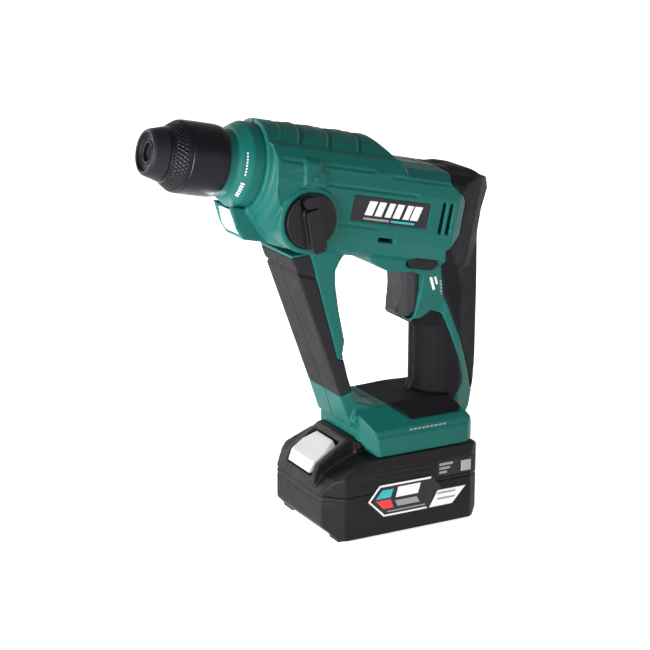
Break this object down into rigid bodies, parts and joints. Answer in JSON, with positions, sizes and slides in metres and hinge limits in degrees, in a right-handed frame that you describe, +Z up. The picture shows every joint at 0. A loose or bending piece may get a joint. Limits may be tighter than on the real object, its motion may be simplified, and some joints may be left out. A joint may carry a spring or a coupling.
{
  "type": "cordless rotary hammer",
  "caption": "Cordless rotary hammer: tilted barrel with quick-release chuck sleeve, side mode knob, closed handle with trigger, work lamp and slide-on battery pack",
  "frame": {"origin": "the middle of the battery pack's underside, on the surface the tool stands on", "axes": "+Z up; the chuck points to -Y, raised 12.2 degrees; +X is the side with the mode knob"},
  "size_m": [0.0797, 0.2232, 0.256],
  "materials": {
    "body_green": "moulded glass-filled nylon, fine grain",
    "lens": "clear moulded lens",
    "board": "solder-masked circuit board",
    "label": "printed plate, satin",
    "soft_black": "soft overmould, fine grain",
    "strut_black": "overmould, fine grain",
    "nose_rubber": "smooth rubber",
    "cast_alloy": "cast and machined",
    "bright_steel": "ground",
    "dark_steel": "blackened",
    "laminations": "stacked sheet with enamelled windings",
    "black_plastic": "moulded",
    "wire": "insulated wire",
    "sleeve_black": "moulded, satin, knurled band",
    "knob_black": "moulded, satin",
    "trigger_grey": "moulded, satin",
    "pack_black": "moulded, fine grain",
    "cell_wrap": "heat-shrunk sleeve on steel cans",
    "contact": "stamped",
    "panel_grey": "moulded",
    "button_grey": "moulded",
    "button_white": "moulded, satin"
  },
  "bodies": {
    "housing": {"housing_left": "body_green", "housing_right": "body_green", "front_collar": "body_green", "led_lens": "lens", "led_board": "board", "label_left": "label", "label_right": "label", "rear_rubber": "soft_black", "grip_rubber": "soft_black", "strut_rubber": "strut_black", "gear_case": "cast_alloy", "front_bearing": "bright_steel", "oil_seal": "soft_black", "countershaft_bearings": "bright_steel", "housing_screws": "dark_steel", "stator": "laminations", "motor_bearings": "bright_steel", "hall_board": "board", "switch_module": "black_plastic", "control_board": "board", "terminal_block": "black_plastic", "wiring": "wire", "trigger_spring": "bright_steel"},
    "spindle": {"spindle": "dark_steel", "spindle_gear": "bright_steel", "locking_ball": "bright_steel", "dust_cap": "nose_rubber", "retaining_ring": "bright_steel", "spring_seat": "bright_steel", "sleeve_spring": "bright_steel"},
    "sleeve": {"sleeve": "sleeve_black"},
    "countershaft": {"countershaft": "bright_steel", "countershaft_wheel": "bright_steel", "wobble_hub": "bright_steel"},
    "wobble_ring": {"wobble_ring": "bright_steel"},
    "rotor": {"rotor": "laminations", "fan": "black_plastic"},
    "piston": {"piston": "cast_alloy"},
    "striker": {"striker": "bright_steel", "striker_ring": "soft_black"},
    "impact_bolt": {"impact_bolt": "bright_steel"},
    "mode_knob": {"mode_knob": "knob_black"},
    "mode_lock": {"mode_lock_button": "knob_black"},
    "trigger": {"trigger": "trigger_grey"},
    "reverse_lever": {"reverse_lever": "knob_black"},
    "pack": {"pack_lower": "pack_black", "pack_upper": "pack_black", "cells": "cell_wrap", "cell_holder": "black_plastic", "pack_board": "board", "pack_contacts": "contact", "pack_screws": "dark_steel", "pack_label": "label", "gauge_panel": "panel_grey", "latch_spring": "bright_steel"},
    "gauge_button": {"gauge_button": "button_grey"},
    "release_button": {"release_button": "button_white"}
  },
  "joints": [
    {"name": "spindle_spin", "type": "hinge", "parent": "housing", "child": "spindle", "pos_m": [0, -0.10371, 0.23011], "axis": [0, -0.9774, 0.2113], "continuous": true},
    {"name": "countershaft_spin", "type": "hinge", "parent": "housing", "child": "countershaft", "pos_m": [0, -0.04016, 0.19284], "axis": [0, -0.9774, 0.2113], "continuous": true},
    {"name": "rotor_spin", "type": "hinge", "parent": "housing", "child": "rotor", "pos_m": [0, 0.02187, 0.1958], "axis": [0, -0.9774, 0.2113], "continuous": true},
    {"name": "wobble_rock", "type": "hinge", "parent": "housing", "child": "wobble_ring", "pos_m": [0, -0.04406, 0.19369], "axis": [1, 0, 0], "range_deg": [-13, 13]},
    {"name": "piston_slide", "type": "slide", "parent": "housing", "child": "piston", "axis": [0, -0.9774, 0.2113], "range_m": [-0.0053, 0.0053]},
    {"name": "striker_slide", "type": "slide", "parent": "housing", "child": "striker", "axis": [0, -0.9774, 0.2113], "range_m": [-0.0005, 0.0055]},
    {"name": "impact_bolt_slide", "type": "slide", "parent": "housing", "child": "impact_bolt", "axis": [0, -0.9774, 0.2113], "range_m": [0, 0.002]},
    {"name": "sleeve_slide", "type": "slide", "parent": "spindle", "child": "sleeve", "axis": [0, 0.9774, -0.2113], "range_m": [0, 0.0047], "stiffness_N_per_m": 1500, "springref_m": -0.003, "deforming": ["sleeve_spring"]},
    {"name": "mode_knob_turn", "type": "hinge", "parent": "housing", "child": "mode_knob", "pos_m": [0.025, -0.06309, 0.19842], "axis": [1, 0, 0], "range_deg": [-90, 135]},
    {"name": "mode_lock_press", "type": "slide", "parent": "mode_knob", "child": "mode_lock", "axis": [-1, 0, 0], "range_m": [0, 0.0015], "stiffness_N_per_m": 800, "springref_m": -0.001},
    {"name": "trigger_pull", "type": "slide", "parent": "housing", "child": "trigger", "axis": [0, 1, 0], "range_m": [0, 0.0055], "stiffness_N_per_m": 900, "springref_m": -0.002, "deforming": ["trigger_spring"]},
    {"name": "reverse_lever_push", "type": "slide", "parent": "housing", "child": "reverse_lever", "axis": [1, 0, 0], "range_m": [-0.0022, 0.0022]},
    {"name": "pack_slide", "type": "slide", "parent": "housing", "child": "pack", "axis": [0, -1, 0], "range_m": [0, 0.075]},
    {"name": "gauge_button_press", "type": "slide", "parent": "pack", "child": "gauge_button", "axis": [-1, 0, 0], "range_m": [0, 0.0006], "stiffness_N_per_m": 800, "springref_m": -0.0005},
    {"name": "release_button_press", "type": "slide", "parent": "pack", "child": "release_button", "axis": [0, 0.5534, -0.8329], "range_m": [0, 0.0015], "stiffness_N_per_m": 900, "springref_m": -0.002, "deforming": ["latch_spring"]}
  ],
  "couplings": [
    {"joint": "countershaft_spin", "follows": "spindle_spin", "ratio": -3.6},
    {"joint": "rotor_spin", "follows": "spindle_spin", "ratio": 12.857},
    {"joint": "piston_slide", "follows": "wobble_rock", "m_per_rad": 0.023}
  ]
}
